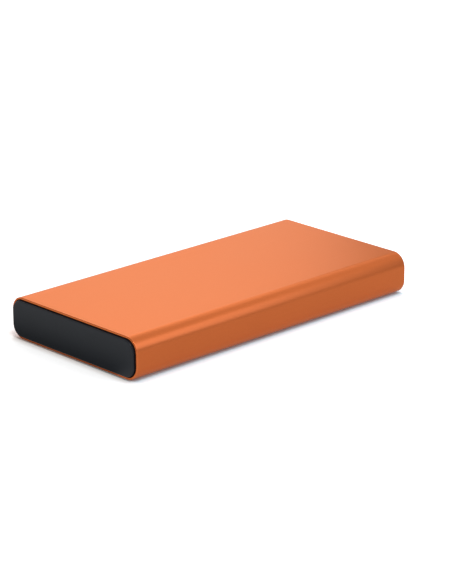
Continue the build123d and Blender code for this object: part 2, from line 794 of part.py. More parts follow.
def switch_dome():
    """Snap dome behind the plunger: the sprung contact of the switch."""
    z = board_top_z + switch_height / 2
    crown_x = switch_front_x - plunger_tail
    rim_x = crown_x - button_travel
    half_height = plunger_height / 2
    outer = [(rim_x, z - half_height), (crown_x, z), (rim_x, z + half_height)]
    inner = [(x - dome_thickness, z_now) for x, z_now in reversed(outer)]
    outer_arc = ThreePointArc(*[(x, button_y - plunger_width / 2, z_now) for x, z_now in outer])
    inner_arc = ThreePointArc(*[(x, button_y - plunger_width / 2, z_now) for x, z_now in inner])
    joins = [Line(outer_arc @ 1, inner_arc @ 0), Line(inner_arc @ 1, outer_arc @ 0)]
    return extrude(make_face([outer_arc, joins[0], inner_arc, joins[1]]), plunger_width, dir=(0, 1, 0))


# ---- Indicator ---------------------------------------------------------------------------
def indicator_leds():
    """Row of side-facing lights on the board's front edge."""
    z_range = (board_top_z, board_top_z + led_height)
    return Compound(
        [block((led_front_x - led_depth, led_front_x), around(y, led_width), z_range) for y in led_ys]
    )


def light_guide():
    """Clear bar behind the flange, with a stem to the cap's face for each light."""
    bar_z = (board_top_z + 0.2, board_top_z + 0.2 + guide_bar_height)
    bar_y = (led_ys[-1] - guide_bar_margin, led_ys[0] + guide_bar_margin)
    guide = block((step_x - guide_bar_thickness, step_x), bar_y, bar_z)
    for y in led_ys:
        stem = rod_x((step_x - 0.2, face_x), y, mid_z, stem_light_radius)
        tip = stem.faces().sort_by(Axis.X)[-1].outer_wire().edges()
        guide += fillet(tip, stem_light_radius * 0.5)
    return guide


# ---- Board components --------------------------------------------------------------------
def inductor_core():
    """Ferrite drum with a flange at each end."""
    top_z = board_top_z + inductor_height
    core = rod_z(middle_x, inductor_y, (board_top_z, top_z), inductor_core_radius)
    for low_z in (board_top_z, top_z - inductor_flange):
        core += rod_z(middle_x, inductor_y, (low_z, low_z + inductor_flange), inductor_radius)
    return core


def inductor_winding():
    """Copper winding between the drum's flanges."""
    z_range = (board_top_z + inductor_flange, board_top_z + inductor_height - inductor_flange)
    winding = rod_z(middle_x, inductor_y, z_range, winding_radius)
    return winding - rod_z(middle_x, inductor_y, z_range, inductor_core_radius)


def output_capacitors():
    """Two can capacitors on their square bases, behind the large socket."""
    can_z = board_top_z + capacitor_base
    cans = []
    for side in (-1, 1):
        y = usb_a_y + side * capacitor_spacing / 2
        x_range = around(capacitor_x, capacitor_base_width)
        base = block(x_range, around(y, capacitor_base_width), (board_top_z, can_z))
        can = rod_z(capacitor_x, y, (can_z, board_top_z + capacitor_height), capacitor_radius)
        can = fillet(can.faces().sort_by(Axis.Z)[-1].outer_wire().edges(), 0.4)
        cans.append(base + can)
    return Compound(cans)


def controller_chips():
    """Black moulded bodies of the output controller and the charging controller."""
    low_z = board_top_z + chip_standoff
    z_range = (low_z, low_z + chip_thickness)
    x_range = around(middle_x, chip_width)
    return Compound([block(x_range, around(y, chip_length), z_range) for y in chip_ys])


def controller_pins():
    """Bent pins along the two long sides of each controller."""
    exit_z = board_top_z + chip_standoff + chip_thickness / 2
    high, low = exit_z + chip_pin_sheet / 2, exit_z - chip_pin_sheet / 2
    foot_z = board_top_z + chip_pin_sheet
    pins = []
    for side in (-1, 1):
        body_x = middle_x + side * chip_width / 2
        knee_x = body_x + side * chip_pin_reach * 0.4
        outer_knee_x = knee_x + side * chip_pin_sheet
        foot_x = body_x + side * chip_pin_reach
        points = [
            (body_x, high),
            (outer_knee_x, high),
            (outer_knee_x, foot_z),
            (foot_x, foot_z),
            (foot_x, board_top_z),
            (knee_x, board_top_z),
            (knee_x, low),
            (body_x, low),
        ]
        for chip_y in chip_ys:
            first_y = chip_y - (chip_pin_count - 1) / 2 * chip_pin_pitch
            for n in range(chip_pin_count):
                pins.append(side_profile(points, around(first_y + n * chip_pin_pitch, chip_pin_width)))
    return Compound(pins)


def components(places, size):
    """Group of equal rectangular components at the given places on the board."""
    size_x, size_y, size_z = size
    z_range = (board_top_z, board_top_z + size_z)
    return Compound([block(around(x, size_x), around(y, size_y), z_range) for x, y in places])


def protection_chips():
    """Two small packages between the two leads."""
    x = board_rear_x + component_gap + small_chip_size[0] / 2
    offset = (small_chip_size[1] + component_gap) / 2
    return components([(x, -offset), (x, offset)], small_chip_size)


def ceramic_capacitors():
    """Row of ceramic capacitors behind the small socket, starting beside the large one's ears."""
    ear_y = usb_a_y + usb_a_outer_width / 2 + usb_a_ear_reach
    first_y = ear_y + component_gap + ceramic_size[1] / 2
    places = [(ceramic_row_x, first_y + n * ceramic_pitch) for n in range(ceramic_count)]
    return components(places, ceramic_size)


def chip_resistors():
    """Resistors: one behind each light and a pair behind the switch."""
    row_x = led_front_x - led_depth - 2 * component_gap - resistor_size[0] / 2
    switch_row_x = switch_rear_x - 2 * component_gap - resistor_size[0] / 2
    places = [(row_x, y) for y in led_ys]
    places += [(switch_row_x, button_y + side * resistor_size[1]) for side in (-1, 1)]
    return components(places, resistor_size)


# ---- Write one file for each node --------------------------------------------------------
nodes = {
    "sleeve": sleeve(),
    "blank_end_cap": blank_end_cap(),
    "blank_cap_gasket": blank_cap_gasket(),
    "clamp_plate": clamp_plate(),
    "clamp_screws": clamp_screws(),
    "inner_tray": inner_tray(),
    "ports_cap_gasket": ports_cap_gasket(),
    "ports_end_cap": ports_end_cap(),
    "lower_cell": cell(lower_cell_z),
    "upper_cell": cell(upper_cell_z),
    "cell_bond_tape": cell_bond(),
    "lower_cell_tabs": cell_tabs(lower_cell_z, 1, 0),
    "upper_cell_tabs": cell_tabs(upper_cell_z, -1, 1),
    "tab_tape": tab_tape(),
    "lower_foam_pad": cell_pad(sleeve_wall),
    "upper_foam_pad": cell_pad(upper_pad_z),
    "positive_lead": lead(-1),
    "negative_lead": lead(1),
    "lead_solder_joints": lead_joints(),
    "circuit_board": circuit_board(),
    "board_screws": board_screws(),
    "insulation_film": insulation_film(),
    "usb_a_shell": usb_a_shell(),
    "usb_a_insulator": usb_a_insulator(),
    "usb_a_contacts": usb_a_contacts(),
    "micro_usb_shell": micro_usb_shell(),
    "micro_usb_insulator": micro_usb_insulator(),
    "micro_usb_contacts": micro_usb_contacts(),
    "power_button": power_button(),
    "switch_housing": switch_housing(),
    "switch_cover": switch_cover_plate(),
    "switch_plunger": switch_plunger(),
    "switch_dome": switch_dome(),
    "indicator_leds": indicator_leds(),
    "light_guide": light_guide(),
    "inductor_core": inductor_core(),
    "inductor_winding": inductor_winding(),
    "output_capacitors": output_capacitors(),
    "controller_chips": controller_chips(),
    "controller_pins": controller_pins(),
    "protection_chips": protection_chips(),
    "ceramic_capacitors": ceramic_capacitors(),
    "chip_resistors": chip_resistors(),
}

os.makedirs("parts", exist_ok=True)
for name, shape in nodes.items():
    export_step(shape, f"parts/{name}.step")
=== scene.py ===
"""Looks for a slim power bank: an anodised aluminium sleeve closed by two black end caps."""

import math

import bmesh
import bpy
from mathutils import Matrix, Vector, noise


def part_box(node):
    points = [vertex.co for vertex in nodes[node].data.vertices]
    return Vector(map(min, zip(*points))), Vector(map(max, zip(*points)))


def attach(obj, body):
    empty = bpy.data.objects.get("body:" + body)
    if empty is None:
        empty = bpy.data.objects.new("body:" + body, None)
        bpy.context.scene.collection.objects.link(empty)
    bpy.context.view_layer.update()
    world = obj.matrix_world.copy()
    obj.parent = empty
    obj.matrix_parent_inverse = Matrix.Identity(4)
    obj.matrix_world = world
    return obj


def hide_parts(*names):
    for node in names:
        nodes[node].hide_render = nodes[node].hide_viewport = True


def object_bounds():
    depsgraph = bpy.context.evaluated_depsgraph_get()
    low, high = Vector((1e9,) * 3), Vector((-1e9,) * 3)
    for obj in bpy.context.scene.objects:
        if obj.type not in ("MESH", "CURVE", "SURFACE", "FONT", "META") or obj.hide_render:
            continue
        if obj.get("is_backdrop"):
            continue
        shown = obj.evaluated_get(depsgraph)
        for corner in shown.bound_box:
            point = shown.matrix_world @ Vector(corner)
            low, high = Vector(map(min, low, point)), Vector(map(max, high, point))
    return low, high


bl_info = {
    "name": "Power Bank Looks",
    "version": (1, 0, 0),
    "blender": (4, 5, 0),
    "location": "3D View > Sidebar > Power Bank",
    "description": "Builds the visible pieces, finishes and stage round the packed power bank",
    "category": "Object",
}

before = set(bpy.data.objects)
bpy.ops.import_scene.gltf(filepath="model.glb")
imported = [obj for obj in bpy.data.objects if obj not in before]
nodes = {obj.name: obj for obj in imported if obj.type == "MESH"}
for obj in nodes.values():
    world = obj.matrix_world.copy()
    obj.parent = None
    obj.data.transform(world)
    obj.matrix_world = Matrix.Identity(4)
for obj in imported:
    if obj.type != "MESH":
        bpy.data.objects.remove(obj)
cad_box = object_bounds()

MM = 0.001
SAME_PLACE = 1e-6
NEARLY_PARALLEL = 0.999
X, Y, Z = range(3)


# ---- Node helpers ----------------------------------------


def add_node(tree, kind, inputs=(), **settings):
    """A node whose inputs are given as values, or as sockets to link from."""
    made = tree.nodes.new(kind)
    for name, value in settings.items():
        setattr(made, name, value)
    connect(tree, made, inputs)
    return made


def connect(tree, made, inputs):
    for name, value in dict(inputs).items():
        if isinstance(value, bpy.types.NodeSocket):
            tree.links.new(value, made.inputs[name])
        else:
            made.inputs[name].default_value = value


def maths(tree, operation, first, second=0.0, clamp=False):
    made = add_node(tree, "ShaderNodeMath", {0: first, 1: second}, operation=operation, use_clamp=clamp)
    return made.outputs[0]


def times(tree, first, *others):
    """The product of two or more values."""
    for other in others:
        first = maths(tree, "MULTIPLY", first, other)
    return first


def plus(tree, first, second):
    return maths(tree, "ADD", first, second)


def minus(tree, first, second):
    return maths(tree, "SUBTRACT", first, second)


def largest(tree, first, *others):
    for other in others:
        first = maths(tree, "MAXIMUM", first, other)
    return first


def blend_colours(tree, factor, first, second, kind="MIX"):
    inputs = {0: factor, 6: first, 7: second}
    made = add_node(tree, "ShaderNodeMix", inputs, data_type="RGBA", blend_type=kind)
    return made.outputs[2]


def ramp_value(tree, value, low, high, to_low=0.0, to_high=1.0):
    inputs = {"Value": value, "From Min": low, "From Max": high, "To Min": to_low, "To Max": to_high}
    return add_node(tree, "ShaderNodeMapRange", inputs, clamp=True).outputs[0]


def between(tree, share, low, high):
    """A value that goes from low to high as the share goes from 0 to 1."""
    return ramp_value(tree, share, 0.0, 1.0, low, high)


def falling(tree, value, low, high):
    """A value that goes from 1 to 0 between two limits."""
    return ramp_value(tree, value, low, high, 1.0, 0.0)


def noise_value(tree, place, scale, detail=3.0, roughness=0.5):
    inputs = {"Vector": place, "Scale": scale, "Detail": detail, "Roughness": roughness}
    return add_node(tree, "ShaderNodeTexNoise", inputs).outputs[0]


def cell_distance(tree, place, scale, randomness=1.0, **settings):
    """Distance from the middle, or from the edge, of the nearest cell of a Voronoi pattern."""
    inputs = {"Vector": place, "Scale": scale, "Randomness": randomness}
    return add_node(tree, "ShaderNodeTexVoronoi", inputs, **settings).outputs["Distance"]


def coordinates(tree, place):
    """The x, y and z of a place, as three sockets."""
    return add_node(tree, "ShaderNodeSeparateXYZ", {0: place}).outputs


def stretched(tree, place, x, y, z, turn=0.0):
    """A place turned about Z and scaled along each axis."""
    mapping = {"Vector": place, "Rotation": (0.0, 0.0, turn), "Scale": (x, y, z)}
    return add_node(tree, "ShaderNodeMapping", mapping).outputs[0]


def start_group(name, inputs, outputs):
    """A shader node group with named inputs (name: default) and outputs, and its two end nodes."""
    tree = bpy.data.node_groups.new(name, "ShaderNodeTree")
    for label, default in inputs.items():
        kind = {float: "Float", tuple: "Color", Vector: "Vector"}[type(default)]
        socket = tree.interface.new_socket(name=label, in_out="INPUT", socket_type="NodeSocket" + kind)
        if kind != "Vector":
            socket.default_value = default
    for label, kind in outputs.items():
        tree.interface.new_socket(name=label, in_out="OUTPUT", socket_type="NodeSocket" + kind)
    return tree, tree.nodes.new("NodeGroupInput").outputs, tree.nodes.new("NodeGroupOutput")


def effect(tree, name, **inputs):
    """A shared group placed in a material's tree."""
    made = tree.nodes.new("ShaderNodeGroup")
    made.node_tree = bpy.data.node_groups[name]
    connect(tree, made, {label.replace("_", " "): value for label, value in inputs.items()})
    return made.outputs


# ---- Shared effects --------------------------------------


def build_fine_grain():
    """Blasted or spark-eroded grain: two sizes of speckle, as a value and a height."""
    inputs = {"Place": Vector(), "Size": 0.0002, "Coarse Share": 0.4}
    tree, given, result = start_group("Fine Grain", inputs, {"Value": "Float", "Height": "Float"})
    density = maths(tree, "DIVIDE", 1.0, given["Size"])
    fine = noise_value(tree, given["Place"], density, 4.0, 0.6)
    pits = ramp_value(tree, cell_distance(tree, given["Place"], density), 0.0, 0.8)
    height = add_node(tree, "ShaderNodeMix", {0: given["Coarse Share"], 2: fine, 3: pits}).outputs[0]
    connect(tree, result, {"Value": ramp_value(tree, fine, 0.3, 0.7), "Height": height})


def build_clouding():
    """Broad soft unevenness between two colours, with the same pattern as a value."""
    inputs = {"Place": Vector(), "Size": 0.02, "Light Colour": grey(0.8), "Dark Colour": grey(0.6)}
    tree, given, result = start_group("Clouding", inputs, {"Colour": "Color", "Value": "Float"})
    density = maths(tree, "DIVIDE", 1.0, given["Size"])
    cloud = ramp_value(tree, noise_value(tree, given["Place"], density, 2.0, 0.45), 0.3, 0.7)
    colour = blend_colours(tree, cloud, given["Dark Colour"], given["Light Colour"])
    connect(tree, result, {"Colour": colour, "Value": cloud})


def build_drawn_lines():
    """Lines left by drawing or brushing along X, as a value and a height."""
    inputs = {"Place": Vector(), "Line Width": 0.0002, "Length Ratio": 60.0}
    tree, given, result = start_group("Drawn Lines", inputs, {"Value": "Float", "Height": "Float"})
    x, y, z = coordinates(tree, given["Place"])
    shortened = maths(tree, "DIVIDE", x, given["Length Ratio"])
    place = add_node(tree, "ShaderNodeCombineXYZ", {0: shortened, 1: y, 2: z}).outputs[0]
    density = maths(tree, "DIVIDE", 1.0, given["Line Width"])
    lines = noise_value(tree, place, density, 3.0, 0.55)
    connect(tree, result, {"Value": ramp_value(tree, lines, 0.35, 0.65), "Height": lines})


def build_hairline_marks():
    """A few thin handling marks in three directions, as a mask."""
    inputs = {"Place": Vector(), "Spacing": 0.012, "Amount": 0.5}
    tree, given, result = start_group("Hairline Marks", inputs, {"Mask": "Float"})
    density = maths(tree, "DIVIDE", 1.0, given["Spacing"])
    masks = []
    for turn, reach in ((0.35, 0.06), (-0.9, 0.09), (1.25, 0.05)):
        place = stretched(tree, given["Place"], reach, 1.0, 1.0, turn)
        line = falling(tree, cell_distance(tree, place, density, feature="DISTANCE_TO_EDGE"), 0.0, 0.004)
        patch = ramp_value(tree, noise_value(tree, given["Place"], 45.0 + 20.0 * turn, 1.0), 0.55, 0.62)
        masks.append(times(tree, line, patch))
    joined = largest(tree, *masks)
    connect(tree, result, {"Mask": maths(tree, "MULTIPLY", joined, given["Amount"], True)})


def build_edge_band():
    """A mask that is 1 where a coordinate's size is past a limit, broken up by noise."""
    inputs = {"Place": Vector(), "Coordinate": 0.0, "Limit": 0.069, "Softness": 0.0002, "Break Up": 0.3}
    tree, given, result = start_group("Edge Band", inputs, {"Mask": "Float"})
    size = maths(tree, "ABSOLUTE", given["Coordinate"])
    ragged = minus(tree, noise_value(tree, given["Place"], 900.0, 3.0), 0.5)
    shift = times(tree, ragged, given["Break Up"], given["Softness"])
    past = minus(tree, plus(tree, size, shift), given["Limit"])
    mask = maths(tree, "ADD", maths(tree, "DIVIDE", past, given["Softness"]), 0.5, True)
    connect(tree, result, {"Mask": mask})


def build_shared_effects():
    build_fine_grain()
    build_clouding()
    build_drawn_lines()
    build_hairline_marks()
    build_edge_band()
    build_painted_floor_light()
    build_painted_contact_shadow()


# ---- Finishes --------------------------------------------


def start_finish(name, **constants):
    """A material with its Principled shader's plain values set, and its Object coordinates."""
    finish = bpy.data.materials.new(name)
    finish.use_nodes = True
    tree = finish.node_tree
    shader = tree.nodes["Principled BSDF"]
    for label, value in constants.items():
        shader.inputs[label.replace("_", " ")].default_value = value
    place = tree.nodes.new("ShaderNodeTexCoord").outputs["Object"]
    return finish, tree, shader, place


def surface(tree, shader, colour, roughness, height, depth):
    """Sets the colour and roughness, and raises the surface by height times depth, in metres."""
    raised = add_node(tree, "ShaderNodeBump", {"Height": height, "Distance": depth, "Strength": 1.0})
    connect(tree, shader, {"Base Color": colour, "Roughness": roughness, "Normal": raised.outputs[0]})


def shaded(colour, factor=1.0):
    """A colour made lighter or darker, and opaque."""
    return tuple(min(1.0, part * factor) for part in colour[:3]) + (1.0,)


def grey(level):
    return (level, level, level, 1.0)


def clouded(tree, place, size, light, dark):
    return effect(tree, "Clouding", Place=place, Size=size, Light_Colour=light, Dark_Colour=dark)


def grained(tree, place, size, coarse_share):
    return effect(tree, "Fine Grain", Place=place, Size=size, Coarse_Share=coarse_share)


def drawn(tree, place, line_width, length_ratio):
    return effect(tree, "Drawn Lines", Place=place, Line_Width=line_width, Length_Ratio=length_ratio)


def handled(tree, place, spacing, amount):
    return effect(tree, "Hairline Marks", Place=place, Spacing=spacing, Amount=amount)["Mask"]


def anodised_finish():
    """Blasted and dyed aluminium with a sealed layer, and a smoother band at each rim, made lighter partly
    as rubbed wear and partly as a painted highlight.
    """
    settings = bpy.context.scene.sleeve_settings
    finish, tree, shader, place = start_finish(
        "anodised_orange",
        Metallic=settings.metal_share,
        IOR=1.5,
        Specular_Tint=(0.9, 0.75, 0.63, 1.0),
        Coat_Weight=settings.coat,
        Coat_Roughness=settings.coat_roughness,
        Coat_IOR=1.5,
    )
    colour = tuple(settings.colour)
    cloud = clouded(tree, place, 0.035, shaded(colour, 1.015), shaded(colour, 0.985))
    grain = grained(tree, place, 0.00016, 0.35)
    lines = drawn(tree, place, 0.0003, 80.0)
    marks = handled(tree, place, 0.014, 0.35)
    rim = effect(
        tree,
        "Edge Band",
        Place=place,
        Coordinate=coordinates(tree, place)[0],
        Limit=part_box("sleeve")[1].x - settings.rim_polish * MM,
        Softness=0.00012,
        Break_Up=0.5,
    )["Mask"]
    speckled = blend_colours(tree, 0.06, cloud["Colour"], grain["Value"], "OVERLAY")
    # The rim band is lighter: partly rubbed wear, partly a painted highlight along the chamfer.
    rim_wear_and_painted_highlight = blend_colours(tree, times(tree, rim, 0.35), speckled, shaded(colour, 1.35))
    marked = blend_colours(tree, times(tree, marks, 0.25), rim_wear_and_painted_highlight, shaded(colour, 1.4))
    uneven = 0.012
    roughness = between(tree, cloud["Value"], settings.roughness - uneven, settings.roughness + uneven)
    roughness = minus(tree, roughness, times(tree, rim, 0.12))
    roughness = minus(tree, roughness, times(tree, marks, 0.08))
    texture = plus(tree, grain["Height"], times(tree, lines["Height"], 0.35))
    surface(tree, shader, marked, roughness, minus(tree, texture, times(tree, marks, 0.6)), 3e-6)
    return finish


def moulded_finish(name, colour, roughness, grain=0.00025, depth=6e-6, coat=0.0, specular=0.5):
    """Moulded plastic with a spark-eroded texture and faint flow clouding."""
    finish, tree, shader, place = start_finish(
        name, Coat_Weight=coat, Coat_Roughness=0.25, Specular_IOR_Level=specular
    )
    cloud = clouded(tree, place, 0.012, shaded(colour, 1.08), shaded(colour, 0.92))
    texture = grained(tree, place, grain, 0.55)
    tinted = blend_colours(tree, 0.1, cloud["Colour"], texture["Value"], "OVERLAY")
    spread = between(tree, texture["Value"], roughness - 0.05, roughness + 0.07)
    surface(tree, shader, tinted, spread, texture["Height"], depth)
    return finish


def metal_finish(name, colour, roughness, line_width, ratio, tarnish, depth=1.5e-6):
    """Rolled or plated metal with drawing lines, slight tarnish and handling marks."""
    finish, tree, shader, place = start_finish(name, Metallic=1.0)
    cloud = clouded(tree, place, 0.003, shaded(colour), shaded(colour, 1.0 - tarnish))
    lines = drawn(tree, place, line_width, ratio)
    marks = handled(tree, place, 0.004, 0.6)
    streaked = blend_colours(tree, 0.12, cloud["Colour"], lines["Value"], "OVERLAY")
    spread = between(tree, lines["Value"], roughness - 0.05, roughness + 0.06)
    marked = plus(tree, spread, times(tree, marks, 0.1))
    height = minus(tree, lines["Height"], times(tree, marks, 0.5))
    surface(tree, shader, streaked, marked, height, depth)
    return finish


def insulation_finish(name, colour):
    """Soft wire insulation: smooth, slightly waxy, with a faint matt bloom."""
    finish, tree, shader, place = start_finish(name, IOR=1.48, Coat_Weight=0.15, Coat_Roughness=0.3)
    cloud = clouded(tree, place, 0.0015, shaded(colour, 1.15), shaded(colour, 0.85))
    grain = grained(tree, place, 0.0001, 0.2)
    bloom = between(tree, cloud["Value"], 0.36, 0.5)
    surface(tree, shader, cloud["Colour"], bloom, grain["Height"], 3e-6)
    return finish


def laminate_finish():
    """Green solder mask over copper tracks, with plated rings at the vias."""
    finish, tree, shader, place = start_finish("solder_mask", Coat_Weight=0.5, Coat_Roughness=0.12)
    over_copper, over_glass = (0.012, 0.105, 0.045, 1.0), (0.01, 0.075, 0.032, 1.0)
    plating = (0.75, 0.62, 0.3, 1.0)
    track_place = stretched(tree, place, 0.34, 1.0, 1.0)
    tracks = cell_distance(tree, track_place, 420.0, 0.75, distance="CHEBYCHEV")
    edge = ramp_value(tree, tracks, 0.42, 0.45)
    vias = cell_distance(tree, place, 260.0, 0.9)
    ring = times(tree, ramp_value(tree, vias, 0.085, 0.075), ramp_value(tree, vias, 0.03, 0.04))
    weave = add_node(tree, "ShaderNodeTexWave", {"Vector": place, "Scale": 700.0, "Distortion": 1.5})
    woven = blend_colours(tree, 0.08, over_copper, weave.outputs["Color"], "OVERLAY")
    plated = blend_colours(tree, ring, blend_colours(tree, edge, over_glass, woven), plating)
    grain = grained(tree, place, 0.0003, 0.3)["Value"]
    height = plus(tree, edge, times(tree, grain, 0.1))
    surface(tree, shader, plated, between(tree, grain, 0.26, 0.38), height, 1.2e-5)
    connect(tree, shader, {"Metallic": ring})
    return finish


def pouch_finish():
    """Cell pouch laminate: dull silver foil under nylon, with creases."""
    finish, tree, shader, place = start_finish(
        "pouch_foil", Metallic=0.9, Coat_Weight=0.4, Coat_Roughness=0.3
    )
    cloud = clouded(tree, place, 0.014, (0.66, 0.67, 0.69, 1.0), (0.55, 0.56, 0.58, 1.0))
    creases = cell_distance(tree, place, 120.0, feature="SMOOTH_F1")
    dimples = grained(tree, place, 0.0009, 0.5)
    spread = between(tree, dimples["Value"], 0.3, 0.42)
    height = plus(tree, times(tree, creases, 0.8), times(tree, dimples["Height"], 0.25))
    surface(tree, shader, cloud["Colour"], spread, height, 6e-5)
    return finish


def tape_finish(name, colour, roughness, gloss):
    """Adhesive tape with wrinkles and a slight sheen."""
    finish, tree, shader, place = start_finish(name, Coat_Weight=gloss, Coat_Roughness=0.2)
    wrinkle = 0.003
    cloud = clouded(tree, place, wrinkle, shaded(colour, 1.06), shaded(colour, 0.9))
    folds = noise_value(tree, stretched(tree, place, 1.0, 0.35, 1.0), 1.0 / wrinkle, 2.0)
    grain = grained(tree, place, 0.0002, 0.2)
    spread = between(tree, grain["Value"], roughness - 0.05, roughness + 0.08)
    height = plus(tree, folds, times(tree, grain["Height"], 0.1))
    surface(tree, shader, cloud["Colour"], spread, height, 3e-5)
    return finish


def foam_finish(name, colour, cell):
    """Open-cell foam: pores painted dark as their shade, between lighter struts."""
    finish, tree, shader, place = start_finish(name, Specular_IOR_Level=0.2, Sheen_Weight=0.15)
    open_pore = ramp_value(tree, cell_distance(tree, place, 1.0 / cell), 0.1, 0.5)
    # Painted shade: each pore darkens to 0.4 of the colour, and the struts lighten to 1.2.
    colours = blend_colours(tree, open_pore, shaded(colour, 0.4), shaded(colour, 1.2))
    surface(tree, shader, colours, between(tree, open_pore, 0.95, 0.8), open_pore, cell * 0.3)
    return finish


def clear_finish(name, colour, roughness, alpha):
    """Clear polycarbonate or film, with light smears."""
    finish, tree, shader, place = start_finish(
        name, IOR=1.58, Alpha=alpha, Coat_Weight=0.6, Coat_Roughness=0.08
    )
    cloud = clouded(tree, place, 0.002, shaded(colour), shaded(colour, 0.88))
    smear = drawn(tree, place, 0.0005, 6.0)
    spread = between(tree, smear["Value"], roughness, roughness + 0.08)
    surface(tree, shader, cloud["Colour"], spread, smear["Height"], 1e-6)
    return finish


def led_finish():
    """Diffusing resin over a phosphor patch."""
    finish, tree, shader, place = start_finish("led_resin", Coat_Weight=0.8, Coat_Roughness=0.05)
    resin = clouded(tree, place, 0.0006, (0.9, 0.88, 0.72, 1.0), (0.82, 0.76, 0.42, 1.0))
    grain = grained(tree, place, 0.00012, 0.2)
    spread = between(tree, resin["Value"], 0.15, 0.3)
    surface(tree, shader, resin["Colour"], spread, grain["Height"], 2e-6)
    return finish


def winding_finish():
    """Enamelled copper turns, side by side round an upright axis, with painted shade in the grooves between
    them.
    """
    finish, tree, shader, place = start_finish("enamelled_copper", Metallic=1.0, Coat_Weight=0.5)
    wire = 0.00026
    turns = maths(tree, "SINE", times(tree, coordinates(tree, place)[2], 2 * math.pi / wire))
    crown = ramp_value(tree, turns, -1.0, 1.0)
    # Painted shade: the colour darkens from each turn's crown down into the groove between turns.
    colour = blend_colours(tree, crown, (0.3, 0.09, 0.025, 1.0), (0.72, 0.3, 0.11, 1.0))
    height = maths(tree, "SQRT", crown)
    surface(tree, shader, colour, between(tree, crown, 0.4, 0.22), height, wire * 0.4)
    return finish


def build_finishes():
    """Every finish by the record slot that it dresses."""
    black = tuple(bpy.context.scene.cap_settings.colour)
    return {
        "anodised_sleeve": anodised_finish(),
        "cap_plastic": moulded_finish("cap_black", black, 0.42, 0.00022, 5e-6, specular=0.34),
        "adhesive_foam": foam_finish("gasket_foam", (0.05, 0.05, 0.052), 0.00025),
        "tray_plastic": moulded_finish("tray_black", (0.045, 0.045, 0.048), 0.5, 0.0004, 9e-6),
        "screw_steel": metal_finish("blackened_steel", (0.17, 0.17, 0.175), 0.36, 0.0001, 8.0, 0.3),
        "cell_pouch": pouch_finish(),
        "white_tape": tape_finish("white_tape", (0.8, 0.8, 0.77), 0.6, 0.0),
        "nickel_tab": metal_finish("nickel_strip", (0.72, 0.69, 0.63), 0.28, 0.00012, 30.0, 0.15),
        "amber_tape": tape_finish("amber_polyimide", (0.72, 0.31, 0.035), 0.22, 0.7),
        "foam": foam_finish("pad_foam", (0.11, 0.11, 0.12), 0.00045),
        "red_insulation": insulation_finish("red_insulation", (0.55, 0.022, 0.02)),
        "black_insulation": insulation_finish("black_insulation", (0.022, 0.022, 0.024)),
        "solder": metal_finish("solder", (0.68, 0.69, 0.7), 0.2, 0.0004, 1.5, 0.2, 4e-6),
        "board_laminate": laminate_finish(),
        "clear_film": clear_finish("clear_film", (0.82, 0.84, 0.82), 0.12, 0.35),
        "plated_steel": metal_finish("plated_steel", (0.72, 0.72, 0.71), 0.2, 0.00012, 30.0, 0.1),
        "white_moulding": moulded_finish("white_moulding", (0.8, 0.8, 0.77), 0.4, 0.0002, 3e-6, 0.1),
        "black_moulding": moulded_finish("black_moulding", (0.03, 0.03, 0.032), 0.45, 0.0002, 4e-6),
        "gold_contact": metal_finish("gold_plate", (0.9, 0.62, 0.22), 0.18, 0.0001, 20.0, 0.12),
        "button_plastic": moulded_finish("button_black", (0.022, 0.023, 0.025), 0.28, 0.0002, 2e-6, 0.3),
        "led_lens": led_finish(),
        "clear_guide": clear_finish("light_guide", (0.88, 0.9, 0.93), 0.3, 0.75),
        "ferrite": moulded_finish("ferrite", (0.055, 0.055, 0.06), 0.6, 0.0005, 2e-5),
        "copper_wire": winding_finish(),
        "can_aluminium": metal_finish("can_aluminium", (0.78, 0.78, 0.79), 0.3, 0.0002, 12.0, 0.06),
        "chip_epoxy": moulded_finish("chip_epoxy", (0.022, 0.022, 0.024), 0.52, 0.00012, 5e-6),
        "tin_pins": metal_finish("tinned_pins", (0.7, 0.7, 0.7), 0.3, 0.0001, 6.0, 0.12),
        "tan_ceramic": moulded_finish("tan_ceramic", (0.46, 0.29, 0.14), 0.35, 0.00012, 3e-6, 0.1),
        "resistor_black": moulded_finish("resistor_glaze", (0.03, 0.03, 0.034), 0.22, 0.0002, 2e-6, 0.3),
    }


finishes = {}


# ---- Mesh helpers ----------------------------------------


def add_object(name, data):
    made = bpy.data.objects.new(name, data)
    bpy.context.scene.collection.objects.link(made)
    return made


def keep_piece(name, mesh_under_work, node, *finish_names):
    """Turns a finished bmesh into a piece of the housing that stands for a CAD node.

    Each finish fills one material slot, the first finish the first.
    """
    bmesh.ops.recalc_face_normals(mesh_under_work, faces=mesh_under_work.faces[:])
    for face in mesh_under_work.faces:
        face.smooth = True
    mesh = bpy.data.meshes.new(name)
    mesh_under_work.to_mesh(mesh)
    mesh_under_work.free()
    for finish_name in finish_names:
        mesh.materials.append(finishes[finish_name])
    piece = add_object(name, mesh)
    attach(piece, "housing")
    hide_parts(node)
    return piece


def crisp(piece, angle, width):
    """Small rounded edges, then normals that keep the flats flat."""
    rounding = piece.modifiers.new("Edge rounding", "BEVEL")
    rounding.limit_method = "ANGLE"
    rounding.angle_limit = math.radians(angle)
    rounding.width = width
    rounding.segments = 2
    rounding.use_clamp_overlap = True
    normals = piece.modifiers.new("Flat faces", "WEIGHTED_NORMAL")
    normals.keep_sharp = True
    normals.weight = 100


def block(low, high):
    """A bmesh cube between two corners."""
    low, high = Vector(low), Vector(high)
    made = bmesh.new()
    bmesh.ops.create_cube(made, size=1.0)
    size = high - low
    bmesh.ops.scale(made, vec=size, verts=made.verts[:])
    bmesh.ops.translate(made, vec=(low + high) / 2, verts=made.verts[:])
    return made


def edges_along(made, axis):
    """The edges that run along one axis."""
    found = []
    for edge in made.edges:
        run = (edge.verts[1].co - edge.verts[0].co).normalized()
        if abs(run[axis]) > NEARLY_PARALLEL:
            found.append(edge)
    return found


def round_edges(made, edges, radius, segments):
    bmesh.ops.bevel(
        made,
        geom=edges,
        offset=radius,
        offset_type="OFFSET",
        segments=segments,
        profile=0.5,
        affect="EDGES",
        material=-1,
        clamp_overlap=True,
    )


